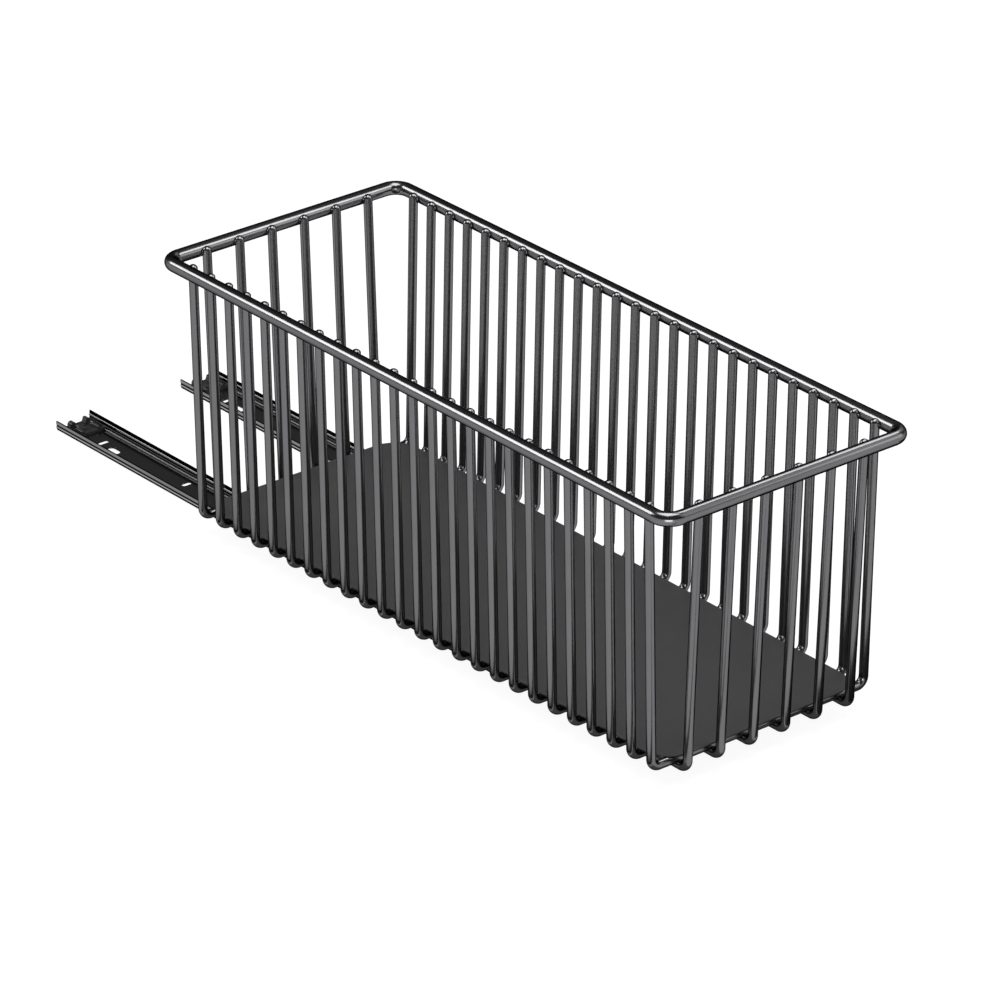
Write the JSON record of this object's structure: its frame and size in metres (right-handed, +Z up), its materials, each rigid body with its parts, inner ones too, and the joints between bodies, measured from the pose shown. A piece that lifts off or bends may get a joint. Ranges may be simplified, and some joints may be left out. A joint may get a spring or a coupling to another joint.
{
  "type": "pull-out cabinet basket",
  "caption": "Wire basket on two ball-bearing slides that pulls out of a kitchen cabinet.",
  "frame": {"origin": "middle of the footprint on the cabinet floor, with the basket 133 mm out", "axes": "+Z up, -Y the way the basket pulls out, +X to the right as seen from the front"},
  "size_m": [0.164, 0.543, 0.1597],
  "materials": {
    "wire_coating": "satin",
    "rim_coating": "satin",
    "plate_coating": "satin",
    "slide_steel": "satin",
    "bright_steel": "polished",
    "bumper_rubber": "matte"
  },
  "bodies": {
    "cabinet_rails": {"left_outer_channel": "slide_steel", "left_rear_bumper": "bumper_rubber", "left_bumper_rivet": "slide_steel", "right_outer_channel": "slide_steel", "right_rear_bumper": "bumper_rubber", "right_bumper_rivet": "slide_steel"},
    "basket": {"top_rim": "rim_coating", "floor_plate": "plate_coating", "side_wire_01": "wire_coating", "side_wire_02": "wire_coating", "side_wire_03": "wire_coating", "side_wire_04": "wire_coating", "side_wire_05": "wire_coating", "side_wire_06": "wire_coating", "side_wire_07": "wire_coating", "side_wire_08": "wire_coating", "side_wire_09": "wire_coating", "side_wire_10": "wire_coating", "side_wire_11": "wire_coating", "side_wire_12": "wire_coating", "side_wire_13": "wire_coating", "side_wire_14": "wire_coating", "side_wire_15": "wire_coating", "side_wire_16": "wire_coating", "side_wire_17": "wire_coating", "side_wire_18": "wire_coating", "side_wire_19": "wire_coating", "side_wire_20": "wire_coating", "side_wire_21": "wire_coating", "side_wire_22": "wire_coating", "side_wire_23": "wire_coating", "side_wire_24": "wire_coating", "side_wire_25": "wire_coating", "end_wire_1": "wire_coating", "end_wire_2": "wire_coating", "end_wire_3": "wire_coating", "end_wire_4": "wire_coating", "end_wire_5": "wire_coating", "end_wire_6": "wire_coating", "left_inner_channel": "slide_steel", "left_carrier": "wire_coating", "left_carrier_screws": "bright_steel", "right_inner_channel": "slide_steel", "right_carrier": "wire_coating", "right_carrier_screws": "bright_steel"},
    "left_cage": {"left_ball_cage": "bright_steel", "left_balls": "bright_steel"},
    "right_cage": {"right_ball_cage": "bright_steel", "right_balls": "bright_steel"}
  },
  "joints": [
    {"name": "basket_slide", "type": "slide", "parent": "cabinet_rails", "child": "basket", "axis": [0, -1, 0], "range_m": [-0.133, 0.037]},
    {"name": "left_cage_slide", "type": "slide", "parent": "cabinet_rails", "child": "left_cage", "axis": [0, -1, 0], "range_m": [-0.0665, 0.0185]},
    {"name": "right_cage_slide", "type": "slide", "parent": "cabinet_rails", "child": "right_cage", "axis": [0, -1, 0], "range_m": [-0.0665, 0.0185]}
  ],
  "couplings": [
    {"joint": "left_cage_slide", "follows": "basket_slide", "ratio": 0.5},
    {"joint": "right_cage_slide", "follows": "basket_slide", "ratio": 0.5}
  ]
}
